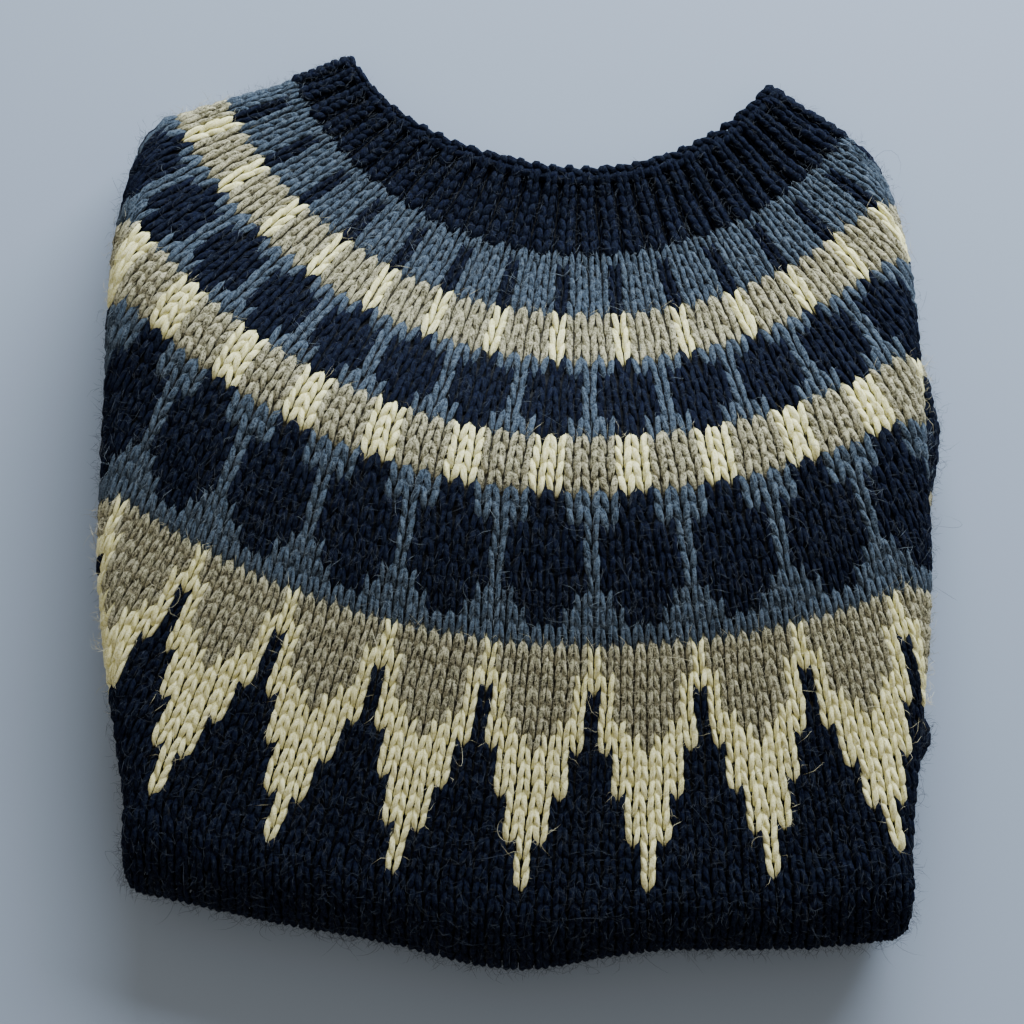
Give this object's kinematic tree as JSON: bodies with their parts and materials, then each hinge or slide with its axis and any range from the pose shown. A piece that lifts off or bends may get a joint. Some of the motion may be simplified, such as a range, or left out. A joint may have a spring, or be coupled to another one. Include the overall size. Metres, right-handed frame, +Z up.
{
  "type": "nordic yoke sweater, folded",
  "caption": "Thick hand-knitted wool pullover with a round colourwork yoke in navy, blue, grey and cream, folded flat with its ribbed neckband and front yoke on top.",
  "frame": {"origin": "middle of the bounding box at the flat underside", "axes": "+Y towards the neck, +X to the right as the front yoke is seen from above with the neck at the top, +Z up"},
  "size_m": [0.3199, 0.3662, 0.055],
  "materials": {
    "navy_wool": "thick plied wool, nearly black navy, softly fuzzy and matt",
    "blue_wool": "thick plied wool, heathered slate blue, softly fuzzy and matt",
    "grey_wool": "thick plied wool, warm grey heather of light and dark fibres, matt",
    "cream_wool": "thick plied wool, undyed cream, matt"
  },
  "bodies": {
    "root": {"neckband": "navy_wool", "yoke_front": "blue_wool", "yoke_back": "blue_wool", "body": "navy_wool", "hem_rib": "navy_wool", "sleeve_left": "navy_wool", "sleeve_right": "navy_wool", "folded_core": "navy_wool"}
  },
  "joints": []
}
